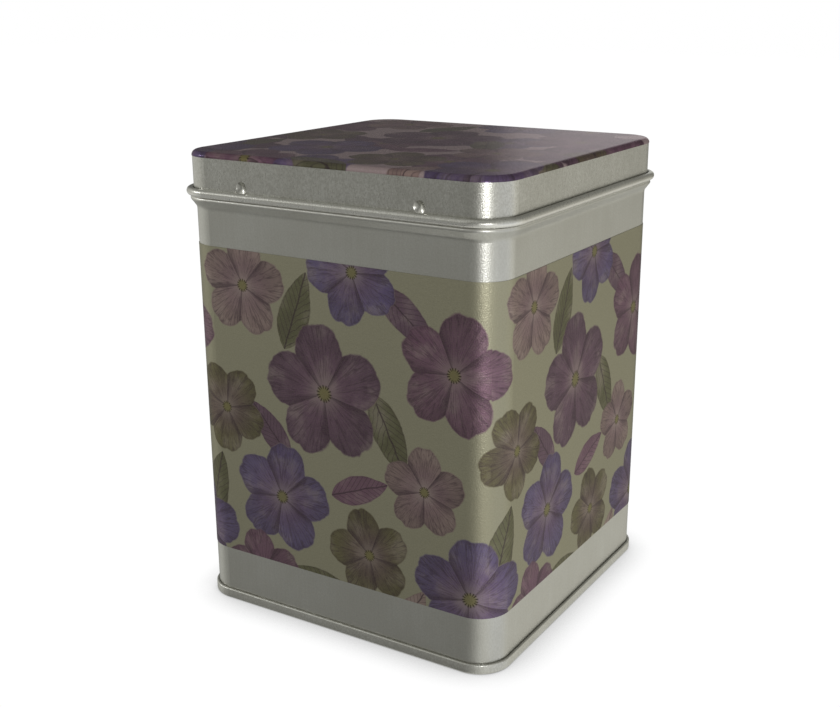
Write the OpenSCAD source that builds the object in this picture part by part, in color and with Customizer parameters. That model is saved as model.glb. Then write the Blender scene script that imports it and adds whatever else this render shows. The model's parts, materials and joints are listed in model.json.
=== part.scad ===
// Square tinplate tea caddy with a lift-off slip lid.
// Millimetres, +Z up, origin at the centre of the base on the resting plane, front at -Y.
// Every sheet-metal piece is one strip section, bent along its mean line and carried round
// a rounded square: four straight sides and four quarter-turn corners.

/* [Tin body] */
// Width and depth across the flat walls
body_w = 100; // [80:1:130]
// Outside radius of the upright corners
corner_r = 9; // [7:0.5:14]
// Height of the straight wall, from the resting plane to the start of the shoulder
wall_h = 118.6; // [90:0.1:160]
// Thickness of the tinplate
sheet_t = 0.25; // [0.2:0.01:0.3]

/* [Base seam] */
// Height of the double seam round the base
seam_h = 3; // [2.8:0.1:4.5]
// Gap between the folded layers of the double seam
seam_gap = 0.03; // [0.02:0.01:0.05]
// Mean radius of the two bends at the foot of the seam
foot_bend_r = 0.4; // [0.3:0.01:0.45]
// Height of the folded-up edge of the wall inside the seam
body_hook_h = 2.1; // [1.6:0.1:2.2]
// Height at which the folded-down edge of the base ends inside the seam
end_hook_z = 1.1; // [0.9:0.1:1.4]
// Height of the base panel above the resting plane
panel_z = 3.1; // [2.5:0.1:6]
// Mean radius of the bend between the base panel and its rim
panel_bend_r = 0.8; // [0.5:0.1:1.5]

/* [Side seam] */
// Width of the folded lock seam down the back
lock_seam_w = 5; // [3:0.5:8]
// Number of extra sheet layers folded inside the lock seam
lock_seam_layers = 2; // [1:1:3]
// Distance of the lock seam's ends from the base seam and from the shoulder
lock_seam_inset = 1; // [0.5:0.5:6]
// Width of the fold line that shows outside
lock_line_w = 0.4; // [0.2:0.1:0.8]
// Depth of the fold line that shows outside
lock_line_depth = 0.12; // [0.05:0.01:0.15]

/* [Shoulder and neck] */
// Distance that the shoulder ridge stands out from the wall
ridge_out = 1.64; // [1.3:0.01:2.4]
// Mean radius of the bend from the wall into the shoulder
shoulder_bend_r = 2.1; // [1:0.1:5]
// Mean radius of the ridge
ridge_bend_r = 0.6; // [0.4:0.05:0.7]
// Mean radius of the bend at the foot of the neck
neck_bend_r = 0.5; // [0.3:0.05:0.6]
// Height of the neck above the shoulder
neck_h = 9.6; // [7:0.1:11]
// Mean radius of the safe edge curled inward round the mouth
mouth_curl_r = 0.8; // [0.5:0.05:1]
// Angle through which the mouth's edge is curled
mouth_curl_angle = 270; // [200:5:290]

/* [Lid] */
// Headroom between the neck's mouth and the underside of the lid's top
lid_headroom = 2.5; // [1.5:0.1:6]
// Distance that the lid's skirt stands out from the body wall
skirt_out = 0.62; // [0.4:0.01:0.8]
// Outside radius of the edge between the lid's top and its skirt
lid_edge_r = 1.4; // [0.8:0.1:2.5]
// Outside diameter of the curl round the lid's lower edge
curl_d = 2.3; // [1.8:0.1:2.4]
// Angle through which the lid's edge is curled
curl_angle = 305; // [270:5:310]
// Gap between the closed lid's curl and the shoulder
seat_gap = 0.05; // [0.04:0.01:0.5]
// Gap between the lid's skirt and the neck
neck_clearance = 0.77; // [0.5:0.01:1]

/* [Grip dimples] */
// Width of a dimple where it meets the skirt
dimple_d = 3.5; // [3:0.1:4.4]
// Gap left between a dimple's crown and the neck
dimple_clearance = 0.17; // [0.1:0.01:0.25]
// Distance between the two dimples of a face
dimple_spacing = 56.5; // [20:0.5:60]
// Height of the dimples above the underside of the lid's curl
dimple_rise = 3.6; // [3.6:0.1:8]

/* [Printed film] */
// Thickness of the printed film
film_t = 0.1; // [0.05:0.01:0.2]
// Thickness of the adhesive under the film
film_gap = 0.02; // [0.01:0.01:0.03]
// Height of the printed band's lower edge
print_z = 16.6; // [8:0.1:40]
// Bare metal left between the printed band and the shoulder
print_top_margin = 9.7; // [3:0.1:30]
// Bare metal left on each side of the lock seam
print_seam_margin = 3; // [1:0.5:10]

/* [Hidden] */

$fn = 96;
SIDES = 4;
QUARTER = 90;
HALF = 180;
WEDGE_STEP = 45;

// The shoulder leans out 3 for every 4 up.
SLOPE_OUT = 3;
SLOPE_UP = 4;
shoulder_angle = atan2(SLOPE_OUT, SLOPE_UP);
// How far a wedge reaches from its point, beyond any bend in the sheet.
wedge_reach = 10;

metal = "#8d9084";
bright_metal = "#9a9d91";
print_ground = "#a9a47c";

// Half the sheet's thickness, which separates a bend's mean line from its faces.
half_t = sheet_t / 2;
// Centre of each corner's arc, and the length of the straight sides between them.
corner_c = body_w / 2 - corner_r;
side_l = 2 * corner_c;

// Sections are drawn with X as the distance from the corner's centre and Y as the height.
wall_x = corner_r - half_t;

// The double seam's layers lie one pitch apart: rim, wall, base hook, wall hook, cover.
layer_pitch = sheet_t + seam_gap;
rim_x = wall_x - layer_pitch;
end_hook_x = wall_x + layer_pitch;
body_hook_x = wall_x + 2 * layer_pitch;
cover_x = wall_x + 3 * layer_pitch;
foot_z = foot_bend_r + half_t;
hook_bend_z = sheet_t + seam_gap + half_t + layer_pitch;
cover_bend_z = seam_h - half_t - layer_pitch;

// Shoulder: out of the wall, up the slope, round the ridge and back in to the neck.
slope_out = ridge_out - (shoulder_bend_r + ridge_bend_r) * (1 - cos(shoulder_angle));
slope_l = slope_out / sin(shoulder_angle);
shoulder_rise = (shoulder_bend_r + ridge_bend_r) * sin(shoulder_angle)
    + slope_l * cos(shoulder_angle);
ridge_z = wall_h + shoulder_rise;
shelf_z = ridge_z + ridge_bend_r;
shoulder_top_z = shelf_z + half_t;
ridge_centre_x = wall_x + ridge_out - ridge_bend_r;

// Skirt and neck, both placed from the body wall's outer face.
skirt_x = corner_r + skirt_out - half_t;
neck_x = skirt_x - sheet_t - neck_clearance;
shelf_l = ridge_centre_x - neck_x - neck_bend_r;
mouth_z = shoulder_top_z + neck_h;
mouth_curl_z = mouth_z - half_t - mouth_curl_r;

// Lid heights.
lid_bottom_z = shoulder_top_z + seat_gap;
lid_top_z = mouth_z + lid_headroom + sheet_t;
curl_z = lid_bottom_z + curl_d / 2;
curl_mean_r = curl_d / 2 - half_t;
lid_edge_mean_r = lid_edge_r - half_t;

// A dimple is the cap of a ball that leaves its clearance to the neck.
dimple_depth = neck_clearance - dimple_clearance;
dimple_ball_r = (pow(dimple_d / 2, 2) + pow(dimple_depth, 2)) / (2 * dimple_depth);
dimple_z = lid_bottom_z + dimple_rise;
skirt_face = body_w / 2 + skirt_out;

// Lock seam and printed film.
lock_bottom_z = max(seam_h, panel_z) + lock_seam_inset;
lock_top_z = wall_h - lock_seam_inset;
print_x = corner_r + film_gap;
print_top_z = wall_h - print_top_margin;
print_slot_w = lock_seam_w + 2 * print_seam_margin;
film_mean_r = lid_edge_r + film_gap + film_t / 2;

// Wedge with its point at the origin, opening anticlockwise from one angle to another.
module wedge(from, to) {
    inner = [for (angle = [from : WEDGE_STEP : to]) angle];
    angles = inner[len(inner) - 1] == to ? inner : concat(inner, [to]);
    polygon(concat([[0, 0]], [for (angle = angles) wedge_reach * [cos(angle), sin(angle)]]));
}

// Part of a ring round the origin, of the given mean radius and thickness.
module bend_section(mean_r, thickness, from, to) {
    intersection() {
        difference() {
            circle(r = mean_r + thickness / 2);
            circle(r = mean_r - thickness / 2);
        }
        wedge(from, to);
    }
}

// Strip of sheet that starts at the origin and heads up the page. A step [length, 0] is a
// straight run and a step [mean radius, angle] is a bend, to the left for a positive angle.
module strip(steps, thickness = sheet_t, index = 0) {
    if (index < len(steps)) {
        size = steps[index][0];
        turn = steps[index][1];
        if (turn == 0) {
            translate([-thickness / 2, 0]) square([thickness, size]);
            translate([0, size]) strip(steps, thickness, index + 1);
        } else {
            to_centre = turn > 0 ? -size : size;
            from = turn > 0 ? 0 : HALF + turn;
            translate([to_centre, 0]) {
                bend_section(size, thickness, from, from + abs(turn));
                rotate(turn) translate([-to_centre, 0]) strip(steps, thickness, index + 1);
            }
        }
    }
}

// Carries a section round the rounded square.
module carried_round() {
    for (side = [0 : SIDES - 1]) rotate(side * QUARTER) {
        translate([corner_c, corner_c, 0]) rotate_extrude(angle = QUARTER) children();
        translate([corner_c, corner_c, 0]) rotate([QUARTER, 0, 0])
            linear_extrude(height = side_l) children();
    }
}

// Flat middle of a panel whose edges are carried round by a section.
module panel_middle(bottom_z, thickness) {
    translate([-corner_c, -corner_c, bottom_z]) cube([side_l, side_l, thickness]);
}

// Folded edge, straight wall, shoulder, neck and curled mouth, as one strip.
module body_section() {
    translate([body_hook_x, body_hook_h]) rotate(HALF) strip([
        [body_hook_h - hook_bend_z, 0],
        [layer_pitch, -HALF],
        [wall_h - hook_bend_z, 0],
        [shoulder_bend_r, -shoulder_angle],
        [slope_l, 0],
        [ridge_bend_r, shoulder_angle + QUARTER],
        [shelf_l, 0],
        [neck_bend_r, -QUARTER],
        [mouth_curl_z - shelf_z - neck_bend_r, 0],
        [mouth_curl_r, mouth_curl_angle]
    ]);
}

// Base panel from the corner's centre, then the rim, foot, cover and hook of the base.
module base_section() {
    translate([0, panel_z - half_t]) rotate(-QUARTER) strip([
        [rim_x - panel_bend_r, 0],
        [panel_bend_r, -QUARTER],
        [panel_z - half_t - panel_bend_r - foot_z, 0],
        [foot_bend_r, QUARTER],
        [cover_x - rim_x - 2 * foot_bend_r, 0],
        [foot_bend_r, QUARTER],
        [cover_bend_z - foot_z, 0],
        [layer_pitch, HALF],
        [cover_bend_z - end_hook_z, 0]
    ]);
}

// Top panel, rounded edge, skirt and outward curl of the lid.
module lid_section() {
    translate([0, lid_top_z - half_t]) rotate(-QUARTER) strip([
        [skirt_x - lid_edge_mean_r, 0],
        [lid_edge_mean_r, -QUARTER],
        [lid_top_z - lid_edge_r - curl_z, 0],
        [curl_mean_r, curl_angle]
    ]);
}

// Film over the top panel, down to the foot of the rounded edge.
module lid_film_section() {
    translate([0, lid_top_z + film_gap + film_t / 2]) rotate(-QUARTER) strip([
        [corner_r + skirt_out - lid_edge_r, 0],
        [film_mean_r, -QUARTER]
    ], film_t);
}

// One side of a grip dimple, on the skirt's front face: the ball within a layer of the skirt.
module dimple(ball_r, outer_face) {
    intersection() {
        translate([0, dimple_depth - dimple_ball_r - skirt_face, dimple_z]) sphere(r = ball_r);
        translate([-ball_r, -outer_face, dimple_z - ball_r]) cube(2 * ball_r);
    }
}

// Places a shape at all four dimples, two on the front and two on the back.
module at_dimples() {
    for (turn = [0, HALF], side = [-1, 1])
        rotate(turn) translate([side * dimple_spacing / 2, 0, 0]) children();
}

module body_shell() {
    lock_h = lock_top_z - lock_bottom_z;
    lock_t = lock_seam_layers * sheet_t;
    wall_inner = body_w / 2 - sheet_t;
    color(metal) difference() {
        union() {
            carried_round() body_section();
            translate([-lock_seam_w / 2, wall_inner - lock_t, lock_bottom_z])
                cube([lock_seam_w, lock_t + half_t, lock_h]);
        }
        translate([(lock_seam_w - lock_line_w) / 2, body_w / 2 - lock_line_depth, lock_bottom_z])
            cube([lock_line_w, sheet_t, lock_h]);
    }
}

module base_end() {
    color(metal) union() {
        carried_round() base_section();
        panel_middle(panel_z - sheet_t, sheet_t);
    }
}

module lid_shell() {
    color(bright_metal) difference() {
        union() {
            carried_round() lid_section();
            panel_middle(lid_top_z - sheet_t, sheet_t);
            at_dimples() dimple(dimple_ball_r + sheet_t, skirt_face - half_t);
        }
        at_dimples() dimple(dimple_ball_r, skirt_face + half_t);
    }
}

module body_print() {
    color(print_ground) difference() {
        carried_round() translate([print_x, print_z]) square([film_t, print_top_z - print_z]);
        translate([-print_slot_w / 2, 0, print_z - film_t])
            cube([print_slot_w, body_w, print_top_z - print_z + 2 * film_t]);
    }
}

module lid_print() {
    color(print_ground) union() {
        carried_round() lid_film_section();
        panel_middle(lid_top_z + film_gap, film_t);
    }
}

body_shell();
base_end();
lid_shell();
body_print();
lid_print();
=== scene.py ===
"""Dresses a square tinplate tea caddy: bare metal, printed film, stage, lights and camera."""

from __future__ import annotations

import json
import logging
import math
from dataclasses import dataclass, field, replace
from enum import Enum
from typing import Any, Union

import bpy
from mathutils import Matrix, Vector

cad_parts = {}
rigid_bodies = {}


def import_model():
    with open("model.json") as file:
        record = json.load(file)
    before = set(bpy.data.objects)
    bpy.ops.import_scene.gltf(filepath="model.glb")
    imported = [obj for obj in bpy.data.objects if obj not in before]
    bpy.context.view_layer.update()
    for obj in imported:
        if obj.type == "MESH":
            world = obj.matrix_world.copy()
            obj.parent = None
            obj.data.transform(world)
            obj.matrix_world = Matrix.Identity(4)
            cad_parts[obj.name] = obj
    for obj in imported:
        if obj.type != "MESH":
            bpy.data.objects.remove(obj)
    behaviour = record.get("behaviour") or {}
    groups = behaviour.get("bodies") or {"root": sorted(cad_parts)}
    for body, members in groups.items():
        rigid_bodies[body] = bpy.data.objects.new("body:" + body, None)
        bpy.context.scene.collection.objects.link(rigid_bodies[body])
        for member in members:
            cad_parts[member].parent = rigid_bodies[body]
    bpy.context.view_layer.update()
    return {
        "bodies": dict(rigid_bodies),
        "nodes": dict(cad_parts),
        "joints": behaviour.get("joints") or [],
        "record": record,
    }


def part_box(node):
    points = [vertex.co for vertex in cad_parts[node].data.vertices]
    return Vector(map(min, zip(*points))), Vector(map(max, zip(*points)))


LOG = logging.getLogger("caddy")
MM = 0.001

Number = Union[int, float]
Rgb = tuple[float, float, float]

SRGB_KNEE = 0.04045
SRGB_SLOPE = 12.92
SRGB_OFFSET = 0.055
SRGB_POWER = 2.4
WHITE = (1.0, 1.0, 1.0)
NOISE_MEAN = 0.5


def from_hex(code: str) -> Rgb:
    """Turns a screen colour into the linear light that shaders use.

    Args:
        code: Six hexadecimal digits, two each for red, green and blue.

    Returns:
        The colour in linear light.
    """
    parts = (int(code[i : i + 2], 16) / 255 for i in (0, 2, 4))
    return tuple(
        part / SRGB_SLOPE if part <= SRGB_KNEE
        else ((part + SRGB_OFFSET) / (1 + SRGB_OFFSET)) ** SRGB_POWER
        for part in parts
    )


WORN_TIN = from_hex("b8b7b0")
DULL_TIN = from_hex("aeada6")
# Painted light: a bright tin colour that lightens the shade in the groove under the lid's curl.
PAINTED_LIGHT_TIN = from_hex("f6f5f1")
# Painted shade: the dark colour of the line in the crease above the base seam.
PAINTED_CREASE_SHADE = from_hex("3f3d36")
DEEP = from_hex("4a3a46")
PALE = from_hex("bcb0a8")
BLUSH = from_hex("94738a")
PISTIL = from_hex("8f8a5c")
STAMEN = from_hex("352a2a")
DUST = from_hex("8f8a76")


@dataclass(frozen=True)
class Ease:
    """A smooth change from start to end while a value goes from low to high, which may be lower."""

    low: float
    high: float
    start: float = 0.0
    end: float = 1.0

    def between(self, start: float, end: float) -> Ease:
        """The same change with another start and end."""
        return replace(self, start=start, end=end)


class Value:
    """A number travelling between shader nodes, which Python's operators work on."""

    def __init__(self, graph: Graph, socket: bpy.types.NodeSocket) -> None:
        """Wraps one output socket of a graph."""
        self.graph = graph
        self.socket = socket

    def maths(self, operation: str, *others: Value | Number, first: Number | None = None) -> Value:
        """Adds a Math node on this value.

        Args:
            operation: The Math node's operation.
            others: What goes into the sockets after this value.
            first: What goes in before this value, for a reflected operator.

        Returns:
            The node's result.
        """
        values = [self, *others] if first is None else [first, self]
        return self.graph.value("ShaderNodeMath", {"operation": operation}, dict(enumerate(values)))

    def __add__(self, other: Value | Number) -> Value:
        """Adds."""
        return self.maths("ADD", other)

    __radd__ = __add__

    def __sub__(self, other: Value | Number) -> Value:
        """Takes other away."""
        return self.maths("SUBTRACT", other)

    def __rsub__(self, other: Number) -> Value:
        """Takes this value away from a number."""
        return self.maths("SUBTRACT", first=other)

    def __mul__(self, other: Value | Number) -> Value:
        """Multiplies."""
        return self.maths("MULTIPLY", other)

    __rmul__ = __mul__

    def __truediv__(self, other: Value | Number) -> Value:
        """Divides by other."""
        return self.maths("DIVIDE", other)

    def __abs__(self) -> Value:
        """Drops the sign."""
        return self.maths("ABSOLUTE")

    def __pow__(self, power: Number) -> Value:
        """Raises to a power."""
        return self.maths("POWER", power)

    def at_least(self, floor: Value | Number) -> Value:
        """The larger of this value and another."""
        return self.maths("MAXIMUM", floor)

    def at_most(self, ceiling: Value | Number) -> Value:
        """The smaller of this value and another."""
        return self.maths("MINIMUM", ceiling)

    def above(self, other: Value | Number) -> Value:
        """1 where this value is the larger, else 0."""
        return self.maths("GREATER_THAN", other)

    def wrapped(self, low: Number, high: Number) -> Value:
        """Repeats the range from low to high for ever."""
        return self.maths("WRAP", high, low)

    def step(self, low: Number, high: Number, start: Number = 0, end: Number = 1) -> Value:
        """Eases from one value to another.

        Args:
            low: Where the change begins.
            high: Where the change is complete.
            start: The result at low and below it.
            end: The result at high and above it.

        Returns:
            The eased value.
        """
        return self.graph.value(
            "ShaderNodeMapRange", {"interpolation_type": "SMOOTHSTEP"},
            {"Value": self, "From Min": low, "From Max": high, "To Min": start, "To Max": end})

    def eased(self, ease: Ease) -> Value:
        """Follows a change that has a name."""
        return self.step(ease.low, ease.high, ease.start, ease.end)

    def towards(self, other: Value | Number, factor: Value | Number) -> Value:
        """Moves from this value to another as factor goes from 0 to 1."""
        return self.graph.value("ShaderNodeMix", {"data_type": "FLOAT"},
                                {0: factor, 2: self, 3: other})


Feed = Union[Value, Number, tuple, Vector]


class Graph:
    """The shader graph of one material or of the surroundings."""

    def __init__(self, owner: bpy.types.Material | bpy.types.World) -> None:
        """Empties the owner's graph.

        Args:
            owner: The material or the world that is shaded.
        """
        owner.use_nodes = True
        self.owner = owner
        self.tree = owner.node_tree
        self.tree.nodes.clear()

    @classmethod
    def of_material(cls, name: str) -> Graph:
        """Starts the graph of a new material."""
        return cls(bpy.data.materials.new(name))

    def node(self, kind: str, settings: dict[str, Any] | None = None,
             inputs: dict[str | int, Feed] | None = None) -> bpy.types.Node:
        """Adds a node.

        Args:
            kind: The node's type name.
            settings: Properties that are set before the sockets.
            inputs: Values or links, by the socket's name or number.

        Returns:
            The new node.
        """
        made = self.tree.nodes.new(kind)
        for key, setting in (settings or {}).items():
            setattr(made, key, setting)
        for key, feed in (inputs or {}).items():
            self.feed(made.inputs[key], feed)
        return made

    def feed(self, socket: bpy.types.NodeSocket, feed: Feed) -> None:
        """Links a value to a socket, or sets the socket.

        Args:
            socket: The input socket.
            feed: A value to link, or a number, vector or colour to set.
        """
        if isinstance(feed, Value):
            self.tree.links.new(feed.socket, socket)
        elif socket.type == "RGBA":
            socket.default_value = (*feed, 1) if len(feed) == 3 else feed
        else:
            socket.default_value = feed

    def value(self, kind: str, settings: dict[str, Any] | None = None,
              inputs: dict[str | int, Feed] | None = None, output: str | int = 0) -> Value:
        """Adds a node and takes one of its outputs."""
        return Value(self, self.node(kind, settings, inputs).outputs[output])

    def vector(self, x: Value | Number, y: Value | Number, z: Value | Number = 0) -> Value:
        """Joins three numbers into a vector."""
        return self.value("ShaderNodeCombineXYZ", None, {0: x, 1: y, 2: z})

    def split(self, vector: Value) -> tuple[Value, Value, Value]:
        """Splits a vector into its three numbers."""
        node = self.node("ShaderNodeSeparateXYZ", None, {0: vector})
        return tuple(Value(self, out) for out in node.outputs)

    def place(self) -> tuple[Value, Value, Value]:
        """The point's place on the object, in millimetres."""
        spot = self.value("ShaderNodeTexCoord", output="Object")
        return self.split(self.scaled(spot, 1 / MM))

    def scaled(self, vector: Value, factor: Number) -> Value:
        """Scales a vector."""
        return self.value("ShaderNodeVectorMath", {"operation": "SCALE"},
                          {"Vector": vector, "Scale": factor})

    def blend(self, factor: Feed, under: Feed, over: Feed, mode: str = "MIX") -> Value:
        """Mixes two colours.

        Args:
            factor: How much of the upper colour shows, from 0 to 1.
            under: The lower colour.
            over: The upper colour.
            mode: The Mix node's blend type.

        Returns:
            The mixed colour.
        """
        return self.value("ShaderNodeMix", {"data_type": "RGBA", "blend_type": mode},
                          {0: factor, 6: under, 7: over}, 2)

    def blend_vector(self, factor: Value, under: Feed, over: Value) -> Value:
        """Mixes two vectors."""
        return self.value("ShaderNodeMix", {"data_type": "VECTOR"}, {0: factor, 4: under, 5: over}, 1)

    def bump(self, height: Value, depth: Number, under: Value | None = None) -> Value:
        """Turns a height into a surface normal.

        Args:
            height: The height, as a share of the depth.
            depth: What a height of 1 stands for, in millimetres.
            under: An earlier normal that this one goes on top of.

        Returns:
            The bent normal.
        """
        inputs = {"Height": height, "Strength": 1.0, "Distance": depth * MM}
        if under is not None:
            inputs["Normal"] = under
        return self.value("ShaderNodeBump", None, inputs)

    def finish(self, inputs: dict[str | int, Feed]) -> bpy.types.Material:
        """Closes the graph with a Principled shader.

        Args:
            inputs: The shader's sockets.

        Returns:
            The finished material.
        """
        shader = self.value("ShaderNodeBsdfPrincipled", None, inputs)
        self.node("ShaderNodeOutputMaterial", None, {"Surface": shader})
        return self.owner


@dataclass(frozen=True)
class Lumps:
    """Soft noise between 0 and 1: its size, its fineness and how slowly it changes upwards."""

    per_mm: float
    octaves: float = 2
    roughness: float = 0.5
    climb: float = 1.0

    def over(self, graph: Graph, spot: Value | None = None) -> Value:
        """Spreads the noise over the object.

        Args:
            graph: The graph that the nodes go in.
            spot: A place of the caller's own instead of the point's place on the object.

        Returns:
            The noise.
        """
        if spot is None:
            x, y, z = graph.place()
            spot = graph.vector(x, y, z * self.climb)
        return graph.value("ShaderNodeTexNoise", {"noise_dimensions": "3D"},
                           {"Vector": spot, "Scale": self.per_mm, "Detail": self.octaves,
                            "Roughness": self.roughness})


@dataclass(frozen=True)
class Shell:
    """Sizes of the folded tin that the finishes follow, in millimetres."""

    half_width: float
    corner_radius: float = 9.0

    @property
    def corner(self) -> float:
        """Distance of a corner's centre from the middle."""
        return self.half_width - self.corner_radius

    @property
    def face_run(self) -> float:
        """Length of one face with half of each of its two corners."""
        return 2 * self.corner + self.corner_radius * math.pi / 2

    def unrolled(self, graph: Graph) -> tuple[Value, Value]:
        """Measures the way round one face of the tin.

        Args:
            graph: The graph that the nodes go in.

        Returns:
            The distance round from the middle of the face, and the height.
        """
        x, y, z = graph.place()
        facing_y = abs(y).above(abs(x))
        along = (y * x.maths("SIGN")).towards(x * y.maths("SIGN") * -1, facing_y)
        out = abs(x).at_least(abs(y))
        past = (abs(along) - self.corner).at_least(0)
        turn = past.maths("ARCTAN2", out - self.corner)
        run = abs(along).at_most(self.corner) + turn * self.corner_radius
        return run * along.maths("SIGN"), z


@dataclass(frozen=True)
class Grain:
    """The fine matte tooth of rolled tinplate, on broad waves, in millimetres."""

    tooth: float = 0.042
    wave: float = 0.05
    teeth: Lumps = Lumps(3.1, 1)
    waves: Lumps = Lumps(0.045, 1)

    def normal(self, graph: Graph, under: Value | None = None, smooth: Value | None = None) -> Value:
        """Bumps the surface with broad waves and fine tooth.

        Args:
            graph: The graph that the nodes go in.
            under: An earlier normal.
            smooth: Where there is no tooth.

        Returns:
            The bumped normal.
        """
        waves = graph.bump(self.waves.over(graph), self.wave, under)
        teeth = self.teeth.over(graph)
        if smooth is not None:
            teeth = teeth.towards(NOISE_MEAN, smooth)
        return graph.bump(teeth, self.tooth, waves)


@dataclass(frozen=True)
class CreaseShade:
    """A fine, patchy dark line of painted shade in the crease where two turns of the sheet meet."""

    height: float
    half_width: float
    depth: float
    core: float = 0.4
    patches: Lumps = Lumps(0.9, 3, 0.7, climb=0.2)
    patchy: Ease = Ease(0.35, 0.6, 0.35, 1)

    def mask(self, graph: Graph) -> Value:
        """Where the painted shade lies.

        Args:
            graph: The graph that the nodes go in.

        Returns:
            How dark the line is, from 0 to 1.
        """
        off = abs(graph.place()[2] - self.height)
        line = off.step(self.half_width, self.half_width * self.core)
        return line * self.patches.over(graph).eased(self.patchy) * self.depth


@dataclass(frozen=True)
class PaintedLightBand:
    """A level band of painted light: the metal is painted bright where the lid sits on the shoulder,
    to lighten the shade in the groove between them.
    """

    low: float
    high: float
    fade: float
    depth: float

    def mask(self, graph: Graph) -> Value:
        """Where the metal is painted bright.

        Args:
            graph: The graph that the nodes go in.

        Returns:
            How strong the painted light is, from 0 to 1.
        """
        off = abs(graph.place()[2] - (self.low + self.high) / 2)
        half = (self.high - self.low) / 2
        return off.step(half, half + self.fade, self.depth, 0)


@dataclass(frozen=True)
class Dimples:
    """The pressed grip dimples, pointed by the punch, which has left their metal smooth."""

    height: float
    spacing: float = 56.5
    radius: float = 1.75
    point: float = 0.2
    point_reach: float = 1.1
    polish: Ease = Ease(1.05, 0.9)
    roughness: float = 0.24

    def off_centre(self, graph: Graph) -> Value:
        """Measures how far a point is from the middle of the nearest dimple.

        Args:
            graph: The graph that the nodes go in.

        Returns:
            The distance, as a share of the dimple's radius.
        """
        x, _, z = graph.place()
        across = (abs(x) - self.spacing / 2) / self.radius
        up = (z - self.height) / self.radius
        return (across * across + up * up) ** 0.5

    def mask(self, graph: Graph) -> Value:
        """Where the metal is smooth, 1 inside a dimple and 0 away from it."""
        return self.off_centre(graph).eased(self.polish)

    def normal(self, graph: Graph) -> Value:
        """Bends the surface's normal as the punch's point would.

        Args:
            graph: The graph that the nodes go in.

        Returns:
            The bumped normal.
        """
        inward = (1 - self.off_centre(graph) * self.point_reach).at_least(0)
        return graph.bump(inward * inward * -1, self.point)


@dataclass(frozen=True)
class Bulge:
    """A shallow outward swell of the sheet between two heights, in millimetres."""

    low: float
    high: float
    swell: float

    def normal(self, graph: Graph) -> Value:
        """Bends the surface's normal as the swell would.

        Args:
            graph: The graph that the nodes go in.

        Returns:
            The bumped normal.
        """
        height = graph.place()[2]
        along = (height - (self.low + self.high) / 2) * (2 / (self.high - self.low))
        return graph.bump((1 - along * along).at_least(0), self.swell)


@dataclass(frozen=True)
class Flecks:
    """Roughness that varies in fine flecks about its middle value."""

    lumps: Lumps
    below: float
    above: float
    ease: Ease = Ease(0.3, 0.7)

    def roughness(self, graph: Graph, middle: float) -> Value:
        """Spreads the roughness over the surface."""
        ease = self.ease.between(middle - self.below, middle + self.above)
        return self.lumps.over(graph).eased(ease)


@dataclass(frozen=True)
class Tinplate:
    """Bare rolled tinplate: satin, slightly warm, with a fine grain."""

    name: str
    colour: Rgb = from_hex("cfcfca")
    roughness: float = 0.36
    speck: float = 0.5
    grain: Grain = Grain()
    crease_shade: CreaseShade | None = None
    painted_light_band: PaintedLightBand | None = None
    bulge: Bulge | None = None
    dimples: Dimples | None = None
    clouds: Lumps = Lumps(0.06, 3, 0.6)
    cloudy: Ease = Ease(0.3, 0.7, 0, 0.5)
    streaks: Lumps = Lumps(1.3, climb=0.05)
    streaky: Ease = Ease(0.3, 0.75, 0, 0.3)
    specks: Lumps = Lumps(2.6, 1, climb=0.6)
    speckled: Ease = Ease(0.36, 0.64)
    flecks: Flecks = Flecks(Lumps(2.6), 0.03, 0.04)

    def colouring(self, graph: Graph) -> Value:
        """Tones the metal, and lays on it the band of painted light and the line of painted shade.

        Args:
            graph: The graph that the nodes go in.

        Returns:
            The metal's colour.
        """
        colour = graph.blend(self.clouds.over(graph).eased(self.cloudy), self.colour, WORN_TIN)
        colour = graph.blend(self.streaks.over(graph).eased(self.streaky), colour, WORN_TIN)
        speckled = self.speckled.between(0, self.speck)
        colour = graph.blend(self.specks.over(graph).eased(speckled), colour, DULL_TIN)
        # Painted light: brightens the groove where the lid's curl meets the shoulder.
        if self.painted_light_band:
            colour = graph.blend(self.painted_light_band.mask(graph), colour, PAINTED_LIGHT_TIN)
        # Painted shade: darkens the crease where the wall meets the base seam.
        if self.crease_shade:
            colour = graph.blend(self.crease_shade.mask(graph), colour, PAINTED_CREASE_SHADE)
        return colour

    def material(self) -> bpy.types.Material:
        """Builds the finish.

        Returns:
            The finished material.
        """
        graph = Graph.of_material(self.name)
        rough = self.flecks.roughness(graph, self.roughness)
        form = self.bulge or self.dimples
        under = form.normal(graph) if form else None
        smooth = None
        if self.dimples:
            smooth = self.dimples.mask(graph)
            rough = rough.towards(self.dimples.roughness, smooth)
        return graph.finish({"Base Color": self.colouring(graph), "Metallic": 1.0,
                             "Roughness": rough,
                             "Normal": self.grain.normal(graph, under, smooth)})


class Ink(Enum):
    """The print's colours."""

    GROUND = "aba893"
    MAUVE = "b8aaac"
    PLUM = "8c6b80"
    VIOLET = "7b6f98"
    ROSE = "aa9592"
    OLIVE = "7d7858"
    LEAF = "75755a"
    DUSK = "7c6277"

    @property
    def light(self) -> Rgb:
        """The colour in linear light."""
        return from_hex(self.value)


@dataclass(frozen=True)
class Motif:
    """One plant form of the print.

    Attributes:
        round_mm: Its middle's distance round a face, in millimetres.
        up_mm: Its middle's height on the face, in millimetres.
        size: A blossom's radius or a leaf's half length, in millimetres.
        turn: How far it is turned, in degrees.
        ink: Its colour.
    """

    round_mm: float
    up_mm: float
    size: float
    turn: float
    ink: Ink


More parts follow.
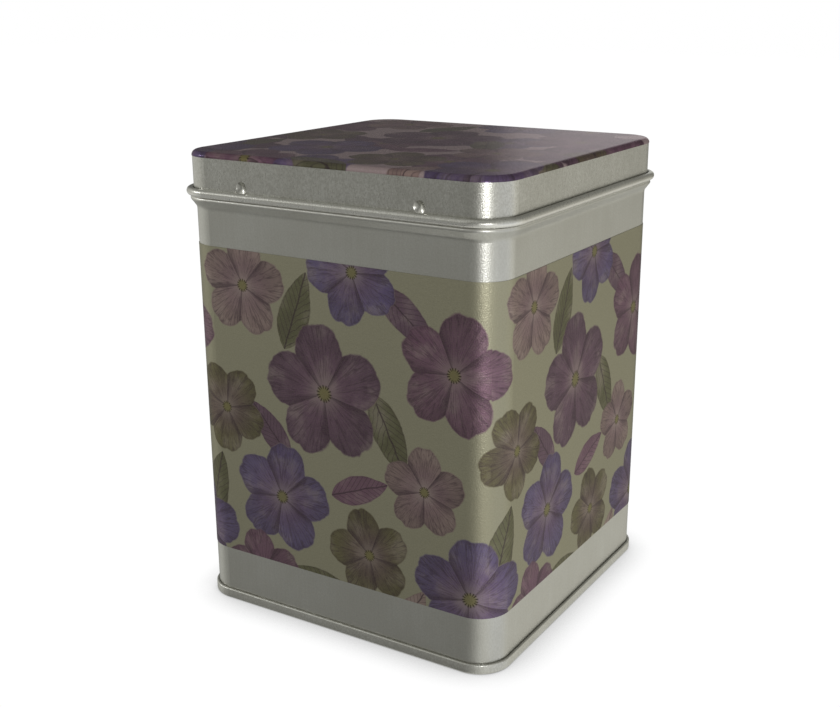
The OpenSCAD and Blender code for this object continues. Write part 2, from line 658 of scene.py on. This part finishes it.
BLOSSOMS = (
    Motif(-30, 99, 15, 12, Ink.ROSE),
    Motif(7, 107, 15, 40, Ink.VIOLET),
    Motif(38, 84, 17, 5, Ink.PLUM),
    Motif(-3, 72, 20, 25, Ink.DUSK),
    Motif(-38, 62, 14, 50, Ink.OLIVE),
    Motif(29, 50, 13, 18, Ink.ROSE),
    Motif(-19, 38, 17, 8, Ink.VIOLET),
    Motif(11, 27, 14, 33, Ink.OLIVE),
    Motif(43, 22, 18, 15, Ink.VIOLET),
    Motif(-27, 12, 14, 28, Ink.PLUM),
)
LEAVES = (
    Motif(-12, 94, 12, 70, Ink.LEAF),
    Motif(24, 97, 11, -40, Ink.DUSK),
    Motif(18, 64, 12, -65, Ink.LEAF),
    Motif(-22, 58, 10, 130, Ink.DUSK),
    Motif(-44, 36, 12, 75, Ink.LEAF),
    Motif(8, 46, 10, 20, Ink.PLUM),
    Motif(-4, 13, 12, 160, Ink.LEAF),
    Motif(24, 12, 10, 60, Ink.ROSE),
)
LID_BLOSSOMS = (
    Motif(-44, 86, 15, 30, Ink.PLUM),
    Motif(21, 72, 14, 10, Ink.VIOLET),
    Motif(46, 58, 16, 44, Ink.DUSK),
    Motif(-10, 54, 15, 20, Ink.PLUM),
    Motif(-46, 30, 16, 5, Ink.DUSK),
    Motif(26, 30, 15, 60, Ink.PLUM),
    Motif(-5, 10, 15, 38, Ink.VIOLET),
    Motif(30, 108, 15, 15, Ink.DUSK),
)


@dataclass(frozen=True)
class Petal:
    """A petal's outline, in shares of its blossom's radius, where an edge is at 1."""

    number: int = 5
    middle: float = 0.54
    half_length: float = 0.46
    half_width: float = 0.405
    notch_half_width: float = 0.14
    notch_depth: float = 0.7
    wobble: float = 0.3
    heart: Ease = Ease(0.24, 0.2)
    heart_edge: float = 0.5
    next_blossom: float = 7.3


@dataclass(frozen=True)
class Blade:
    """A leaf's outline, in shares of its half length."""

    half_width: float = 0.42
    taper: float = 0.1
    roundness: float = 0.8
    tip: float = 0.0001
    wobble: float = 0.12
    widest_edge: float = 1.2
    next_leaf: float = 3.1


@dataclass(frozen=True)
class Veins:
    """Fine lines that fan out along a petal."""

    spread: float
    reach: float
    depth: float
    width: float = 0.045
    next_petal: float = 5.7
    lumps: Lumps = Lumps(1.0, 2, 0.6)
    rise: Ease = Ease(0.1, 0.3)

    def mask(self, graph: Graph, fan: Value, out: Value, petal: Value) -> Value:
        """Draws the lines.

        Args:
            graph: The graph that the nodes go in.
            fan: Angle from the petal's middle line.
            out: Distance out from the blossom's middle.
            petal: Number of the petal.

        Returns:
            How dark the lines are.
        """
        spot = graph.vector(fan * self.spread + petal * self.next_petal, out * self.reach, petal)
        off = abs(self.lumps.over(graph, spot) - NOISE_MEAN)
        return off.step(0, self.width, self.depth, 0) * out.eased(self.rise)


@dataclass(frozen=True)
class Ribs:
    """A leaf's midrib, and the ribs that slant away from it."""

    slant: float = 0.8
    number: float = 6.5
    wobble: float = 1.2
    side: Ease = Ease(0.02, 0.12, 0.55, 0)
    middle: Ease = Ease(0.008, 0.03, 0.75, 0)

    def mask(self, across: Value, along: Value, wobble: Value) -> Value:
        """Draws the ribs.

        Args:
            across: Distance from the midrib.
            along: Distance along the leaf.
            wobble: The print's unevenness.

        Returns:
            How dark the ribs are.
        """
        turns = (abs(across) * -1 + along * self.slant) * self.number + wobble * self.wobble
        side = abs(turns.wrapped(-0.5, 0.5)).eased(self.side)
        return side.at_least(abs(across).eased(self.middle))


@dataclass(frozen=True)
class Stamens:
    """A blossom's pistil, and the ring of dark dots round it."""

    pistil: Ease = Ease(0.075, 0.14, 0.85, 0)
    ring: float = 0.1
    ring_half_width: float = 0.035
    ring_edge: Ease = Ease(0.5, 1.0, 0.9, 0)
    dots: float = 14.0
    dot_edge: Ease = Ease(0.2, 0.8)

    def mask(self, fan: Value, out: Value) -> Value:
        """Where the dots are."""
        ring = abs((out - self.ring) / self.ring_half_width).eased(self.ring_edge)
        return ring * (fan * self.dots).maths("COSINE").eased(self.dot_edge)


@dataclass(frozen=True)
class Tones:
    """How the forms are covered, shaded and dusted."""

    outline: Ease = Ease(0.95, 1.03, 1, 0)
    cover: float = 0.93
    wobble: Lumps = Lumps(0.16, 3, 0.6)
    mottle: Lumps = Lumps(0.11, 4, 0.55)
    dark_mottle: Ease = Ease(0.4, 0.75, 0, 0.32)
    pale_mottle: Ease = Ease(0.52, 0.3, 0, 0.4)
    petal_swing: float = 2.4
    petal_depth: float = 0.2
    blush: Ease = Ease(0.85, 0.25, 0, 0.3)
    pale: Ease = Ease(0.4, 0.12, 0, 0.3)
    overlap: Ease = Ease(0.30, 0.62, 0, 0.6)
    overlap_end: Ease = Ease(0.95, 0.5)
    rim: Ease = Ease(0.8, 0.98, 0, 0.2)
    dust: Lumps = Lumps(2.3, 2, 0.6)
    dusty: Ease = Ease(0.35, 0.68, 0, 0.2)


@dataclass
class Pattern:
    """Layers plant forms one over another on a printed surface.

    Attributes:
        graph: The graph that the nodes go in.
        across: Distance across the print, in millimetres.
        up: Distance up the print, in millimetres.
        repeat: Distance after which the print repeats across.
        ground: The ink between the forms.
        petal: The outline of a blossom's petals.
        blade: The outline of a leaf.
        veins: The lines on the petals, from the coarsest.
        ribs: The lines on the leaves.
        stamens: The blossoms' middles.
        tones: The shading.
        form: Fan angle, distance out from the middle, and nearness to the outline.
        kind: Number of the petal, 1 for a leaf, and 1 for any form.
        laid: How many forms there are.
        spot: The place on the print as a vector.
        wobble: The print's unevenness, about 0.
        colour: The print's colour so far.
    """

    graph: Graph
    across: Value
    up: Value
    repeat: float
    ground: Ink
    petal: Petal = Petal()
    blade: Blade = Blade()
    veins: tuple[Veins, ...] = (Veins(7.0, 1.1, 0.42), Veins(15.0, 2.3, 0.3))
    ribs: Ribs = Ribs()
    stamens: Stamens = Stamens()
    tones: Tones = Tones()
    form: Feed = (0.0, 0.6, 0.0)
    kind: Feed = (0.0, 0.0, 0.0)
    laid: int = 0
    spot: Value = field(init=False)
    wobble: Value = field(init=False)
    colour: Feed = field(init=False)

    def __post_init__(self) -> None:
        """Starts with the bare ground."""
        self.spot = self.graph.vector(self.across, self.up)
        self.wobble = self.tones.wobble.over(self.graph, self.spot) - NOISE_MEAN
        self.colour = self.ground.light

    def local(self, motif: Motif) -> tuple[Value, Value]:
        """The point's place from a motif's centre."""
        half = self.repeat / 2
        return (self.across - motif.round_mm).wrapped(-half, half), self.up - motif.up_mm

    def lay(self, edge: Value, motif: Motif, form: Value, kind: Value) -> None:
        """Puts a form on top of what is there.

        Args:
            edge: Nearness to the outline, which is at 1.
            motif: Whose ink is used.
            form: What the form attribute holds inside the outline.
            kind: What the kind attribute holds inside the outline.
        """
        mask = edge.eased(self.tones.outline)
        self.colour = self.graph.blend(mask * self.tones.cover, self.colour, motif.ink.light)
        self.form = self.graph.blend_vector(mask, self.form, form)
        self.kind = self.graph.blend_vector(mask, self.kind, kind)
        self.laid += 1

    def blossom(self, motif: Motif) -> None:
        """Lays a blossom.

        Args:
            motif: Its place, size, turn and ink.
        """
        shape = self.petal
        x, y = self.local(motif)
        radius = (x * x + y * y) ** 0.5 / motif.size
        angle = y.maths("ARCTAN2", x) - math.radians(motif.turn)
        swing = angle.wrapped(-math.pi / shape.number, math.pi / shape.number)
        along = (radius * swing.maths("COSINE") - shape.middle) / shape.half_length
        side = abs(radius * swing.maths("SINE"))
        notch = (shape.notch_half_width - side).at_least(0) * shape.notch_depth
        edge = (along ** 2 + (side / shape.half_width) ** 2) ** 0.5
        edge = edge + notch + self.wobble * shape.wobble
        edge = edge.towards(shape.heart_edge, radius.eased(shape.heart))
        petal = (angle - swing) * (shape.number / math.tau) + self.laid * shape.next_blossom
        self.lay(edge, motif, self.graph.vector(swing, radius, edge), self.graph.vector(petal, 0, 1))

    def leaf(self, motif: Motif) -> None:
        """Lays a pointed leaf.

        Args:
            motif: Its place, half length, turn and ink.
        """
        shape = self.blade
        x, y = self.local(motif)
        turn = math.radians(motif.turn)
        along = (x * math.cos(turn) + y * math.sin(turn)) / motif.size
        side = (y * math.cos(turn) - x * math.sin(turn)) / motif.size + self.wobble * shape.wobble
        bow = (1 - along * along).at_least(shape.tip) ** shape.roundness
        edge = abs(side) / (bow * (shape.half_width - along.at_most(1) * shape.taper))
        self.lay(edge, motif, self.graph.vector(side, along, edge.at_most(shape.widest_edge)),
                 self.graph.vector(self.laid * shape.next_leaf, 1, 1))

    def ink(self) -> Value:
        """Draws veins, shading and middles on the forms.

        Returns:
            The print's colour.
        """
        graph, tones = self.graph, self.tones
        fan, out, edge = graph.split(self.form)
        petal, leafy, formed = graph.split(self.kind)
        bloom = formed * (1 - leafy)
        mottle = tones.mottle.over(graph, self.spot)
        shade = (petal * tones.petal_swing).maths("SINE") * 0.5 + 0.5
        overlap = fan.eased(tones.overlap) * out.eased(tones.overlap_end)
        layers = [
            (formed * mottle.eased(tones.dark_mottle), DEEP),
            (formed * mottle.eased(tones.pale_mottle), PALE),
            (bloom * shade * tones.petal_depth, DEEP),
            (bloom * out.eased(tones.blush), BLUSH),
            (bloom * out.eased(tones.pale), PALE),
            (bloom * overlap, DEEP),
            *((bloom * veins.mask(graph, fan, out, petal), DEEP) for veins in self.veins),
            (leafy * self.ribs.mask(fan, out, self.wobble), DEEP),
            (formed * edge.eased(tones.rim), DEEP),
            (bloom * out.eased(self.stamens.pistil), PISTIL),
            (bloom * self.stamens.mask(fan, out), STAMEN),
            (tones.dust.over(graph, self.spot).eased(tones.dusty), DUST),
        ]
        colour = self.colour
        for mask, tone in layers:
            colour = graph.blend(mask, colour, tone)
        return colour


@dataclass(frozen=True)
class PrintedFilm:
    """Translucent inks over tinplate: blossoms and leaves on a plain ground.

    Attributes:
        name: The finish's name.
        shell: The tin that it is printed on.
        flat: Whether it lies on the lid's top, and not round the wall.
        offset: How far up the print the middle of a flat film lies, in millimetres.
        ground: The ink between the forms.
        roughness: Its middle roughness.
        metal: How much the metal shines through the inks.
        sheen: The strength of its gloss.
        depth: How far the inks are deepened.
        undermost: More blossoms, under all the rest.
        edge_tint: The colour of its gloss.
        grain: The tooth of the metal under it.
        flecks: How its roughness varies.
    """

    name: str
    shell: Shell
    flat: bool
    offset: float = 0.0
    ground: Ink = Ink.GROUND
    roughness: float = 0.37
    metal: float = 0.88
    sheen: float = 0.5
    depth: float = 0.17
    undermost: tuple[Motif, ...] = ()
    edge_tint: Rgb = (0.55, 0.55, 0.55)
    grain: Grain = Grain(tooth=0.052, wave=0.03)
    flecks: Flecks = Flecks(Lumps(3.1, 2, 0.6), 0.05, 0.08)

    def inks(self, graph: Graph) -> Value:
        """Prints the blossoms and leaves, from the lowest layer up.

        Args:
            graph: The graph that the nodes go in.

        Returns:
            The inks' colour.
        """
        if self.flat:
            across, up, _ = graph.place()
            up = up + self.offset
        else:
            across, up = self.shell.unrolled(graph)
        pattern = Pattern(graph, across, up, self.shell.face_run, self.ground)
        for motif in self.undermost:
            pattern.blossom(motif)
        for motif in LEAVES:
            pattern.leaf(motif)
        for motif in BLOSSOMS:
            pattern.blossom(motif)
        return pattern.ink()

    def material(self) -> bpy.types.Material:
        """Builds the finish.

        Returns:
            The finished material.
        """
        graph = Graph.of_material(self.name)
        inks = self.inks(graph)
        return graph.finish({"Base Color": graph.blend(self.depth, inks, inks, "MULTIPLY"),
                             "Metallic": self.metal,
                             "Roughness": self.flecks.roughness(graph, self.roughness),
                             "Specular IOR Level": self.sheen, "Specular Tint": self.edge_tint,
                             "Normal": self.grain.normal(graph)})


@dataclass
class Tin:
    """The tin's metal pieces and printed films, with heights and sizes in millimetres."""

    frame: dict[str, Any]
    film_proud: float = 0.12
    seam: float = 3.1
    painted_light_below: float = 0.3
    painted_light_above: float = 0.8
    dimples_up: float = 3.6
    lid_print_up: float = 62.0
    shell: Shell = field(init=False)
    seat: float = field(init=False)

    def __post_init__(self) -> None:
        """Measures the shell from the printed band on the wall, and the height the lid sits at."""
        low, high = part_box("body_print")
        self.shell = Shell(half_width=round((high.x - low.x) / 2 / MM - self.film_proud, 3))
        self.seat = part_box("lid_shell")[0].z / MM

    def finishes(self) -> dict[str, Tinplate | PrintedFilm]:
        """Chooses the finish of each of the tin's nodes.

        Returns:
            The finishes, by the node's name.
        """
        seat = self.seat
        return {
            "body_shell": Tinplate(
                "body_tinplate", from_hex("c6c6c1"), roughness=0.33, speck=0.3,
                grain=Grain(tooth=0.046, wave=0.02),
                # Painted shade in the crease above the base seam.
                crease_shade=CreaseShade(self.seam, half_width=0.12, depth=0.2),
                # Painted light on the shoulder's top, under the lid's curl.
                painted_light_band=PaintedLightBand(seat - self.painted_light_below, seat, fade=0.4, depth=0.6)),
            "base_end": Tinplate("base_tinplate", bulge=Bulge(0.0, self.seam, swell=0.12)),
            "lid_shell": Tinplate(
                "lid_tinplate", roughness=0.3, speck=0.6,
                # Painted light on the underside of the lid's curl.
                painted_light_band=PaintedLightBand(seat, seat + self.painted_light_above, fade=0.6, depth=0.7),
                dimples=Dimples(seat + self.dimples_up)),
            "body_print": PrintedFilm("body_film", self.shell, flat=False),
            "lid_print": PrintedFilm(
                "lid_film", self.shell, flat=True, offset=self.lid_print_up, ground=Ink.MAUVE,
                roughness=0.2, metal=0.36, sheen=0.1, depth=0.6, undermost=LID_BLOSSOMS,
                edge_tint=(0.42, 0.26, 0.39), grain=Grain(tooth=0.015, wave=0.02)),
        }

    def dress(self) -> None:
        """Gives each of the tin's nodes its finish."""
        for node, finish in self.finishes().items():
            piece = self.frame["nodes"][node]
            piece.data.materials.clear()
            piece.data.materials.append(finish.material())
            LOG.info("dressed %s", node)


def direction(azimuth: float, elevation: float) -> Vector:
    """The way out from the caddy at an azimuth from the front and a height, in degrees."""
    a, e = math.radians(azimuth), math.radians(elevation)
    return Vector((math.sin(a) * math.cos(e), -math.cos(a) * math.cos(e), math.sin(e)))


@dataclass(frozen=True)
class Lamp:
    """A soft rectangular lamp that looks at the caddy.

    Attributes:
        name: The lamp's name.
        azimuth: Where it hangs round the caddy, in degrees from the front.
        elevation: How high it hangs, in degrees.
        distance: How far off it hangs, in metres.
        width: Its width, in metres.
        height: Its height, in metres.
        power: Its power, in watts.
    """

    name: str
    azimuth: float
    elevation: float
    distance: float
    width: float
    height: float
    power: float

    def build(self, target: Vector) -> bpy.types.Object:
        """Hangs the lamp.

        Args:
            target: The point that it looks at.

        Returns:
            The lamp.
        """
        data = bpy.data.lights.new(self.name, "AREA")
        data.shape = "RECTANGLE"
        data.size = self.width
        data.size_y = self.height
        data.energy = self.power
        lamp = bpy.data.objects.new(self.name, data)
        bpy.context.scene.collection.objects.link(lamp)
        back = direction(self.azimuth, self.elevation)
        lamp.location = target + back * self.distance
        lamp.rotation_mode = "QUATERNION"
        lamp.rotation_quaternion = (-back).to_track_quat("-Z", "Y")
        return lamp


@dataclass(frozen=True)
class Glow:
    """A soft round patch of the surroundings that is brighter, or darker, than the rest.

    Attributes:
        azimuth: Where its middle is round the caddy, in degrees from the front.
        elevation: How high its middle is, in degrees.
        reach: Where it ends, in degrees from its middle.
        core: Where it starts to fade, in degrees from its middle.
        strength: The light that it adds, below 0 where it takes light away.
    """

    azimuth: float
    elevation: float
    reach: float
    core: float
    strength: float

    def light(self, graph: Graph, way: Value) -> Value:
        """Works out the patch's light in a direction.

        Args:
            graph: The graph that the nodes go in.
            way: The direction that is looked in.

        Returns:
            The light that it adds there.
        """
        facing = graph.value("ShaderNodeVectorMath", {"operation": "DOT_PRODUCT"},
                             {0: way, 1: direction(self.azimuth, self.elevation)}, "Value")
        low, high = (math.cos(math.radians(angle)) for angle in (self.reach, self.core))
        return facing.step(low, high, 0, self.strength)


@dataclass(frozen=True)
class Studio:
    """A white floor, soft lamps and white surroundings, warm on one side and cool on another."""

    floor_half: float = 3.0
    shadow_reach: float = 0.016
    shadow_rays: int = 8
    shade: Ease = Ease(0.2, 0.95, 0.42, 1.02)
    target: tuple[float, float, float] = (0.0, 0.0, 0.07)
    lamps: tuple[Lamp, ...] = (
        Lamp("key_lamp", 37, 5, distance=1.0, width=0.17, height=0.26, power=2.2),
        Lamp("glint_lamp", -61, 23, distance=0.8, width=0.1, height=0.1, power=0.6),
    )
    dim: float = 0.275
    glows: tuple[Glow, ...] = (
        Glow(92, -22, 86, 25, 0.54),
        Glow(-85, 0, 48, 15, 0.42),
        Glow(-37, 28, 30, 8, 0.3),
        Glow(-32, -50, 18, 9, -0.18),
        Glow(-75, -82, 33, 12, 0.4),
        Glow(0, 80, 60, 20, 0.2),
        Glow(-135, 6, 23, 14, -0.12),
        Glow(-163, 10, 11.7, 10.7, 0.6),
        Glow(130, -10, 13, 5, 0.25),
        Glow(178, -32, 27, 12, 0.2),
    )
    warm: Glow = Glow(152, -2, 46, 16, 1.0)
    cool: Glow = Glow(95, -10, 45, 15, 1.0)
    plain_light: Rgb = (1.0, 1.0, 0.945)
    warm_light: Rgb = (1.0, 0.98, 0.87)
    cool_light: Rgb = (0.99, 1.0, 1.0)

    def build(self) -> None:
        """Makes the floor, the surroundings and the lamps."""
        self.floor()
        self.surroundings()
        for lamp in self.lamps:
            lamp.build(Vector(self.target))
            LOG.info("hung %s", lamp.name)

    def floor(self) -> None:
        """Lays the floor."""
        half = self.floor_half
        mesh = bpy.data.meshes.new("floor")
        corners = [(-half, -half, 0), (half, -half, 0), (half, half, 0), (-half, half, 0)]
        mesh.from_pydata(corners, [], [(0, 1, 2, 3)])
        floor = bpy.data.objects.new("floor", mesh)
        bpy.context.scene.collection.objects.link(floor)
        graph = Graph.of_material("white_floor")
        seen = graph.value("ShaderNodeLightPath", output="Is Camera Ray")
        openness = graph.value("ShaderNodeAmbientOcclusion", {"samples": self.shadow_rays},
                               {"Distance": self.shadow_reach}, "AO")
        glow = graph.value("ShaderNodeEmission", None,
                           {"Color": WHITE, "Strength": openness.eased(self.shade)})
        clear = graph.value("ShaderNodeBsdfTransparent")
        shader = graph.value("ShaderNodeMixShader", None, {0: seen, 1: clear, 2: glow})
        graph.node("ShaderNodeOutputMaterial", None, {"Surface": shader})
        mesh.materials.append(graph.owner)

    def surroundings(self) -> None:
        """Shows white all round, and lights the caddy from soft walls of differing brightness."""
        world = bpy.data.worlds.new("studio")
        bpy.context.scene.world = world
        graph = Graph(world)
        way = graph.value("ShaderNodeTexCoord", output="Generated")
        light = self.dim
        for glow in self.glows:
            light = glow.light(graph, way) + light
        seen = graph.value("ShaderNodeLightPath", output="Is Camera Ray")
        colour = graph.blend(self.warm.light(graph, way), self.plain_light, self.warm_light)
        colour = graph.blend(self.cool.light(graph, way), colour, self.cool_light)
        colour = graph.blend(seen, colour, WHITE)
        sky = graph.value("ShaderNodeBackground", None,
                          {"Color": colour, "Strength": light.towards(1.0, seen)})
        graph.node("ShaderNodeOutputWorld", None, {"Surface": sky})


@dataclass(frozen=True)
class Camera:
    """The camera, placed by its own position and the way it looks."""

    position: tuple[float, float, float] = (0.18357, -0.29857, 0.17726)
    azimuth: float = 31.11
    elevation: float = 17.49
    focal: float = 51.36
    shift: tuple[float, float] = (-0.0229, 0.0154)
    nearest: float = 0.01

    def build(self) -> bpy.types.Object:
        """Makes the scene's camera.

        Returns:
            The camera.
        """
        data = bpy.data.cameras.new("camera")
        data.lens = self.focal
        data.shift_x, data.shift_y = self.shift
        data.clip_start = self.nearest
        camera = bpy.data.objects.new("camera", data)
        bpy.context.scene.collection.objects.link(camera)
        back = direction(self.azimuth, self.elevation)
        right = Vector((0, 0, 1)).cross(back).normalized()
        turn = Matrix((right, back.cross(right), back)).transposed()
        camera.matrix_world = Matrix.Translation(self.position) @ turn.to_4x4()
        bpy.context.scene.camera = camera
        return camera


def main() -> None:
    """Builds the dressed caddy in its studio."""
    logging.basicConfig(level=logging.INFO, format="%(name)s: %(message)s")
    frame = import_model()
    bpy.context.scene.view_settings.view_transform = "Standard"
    Tin(frame).dress()
    Studio().build()
    Camera().build()


if __name__ == "__main__":
    main()
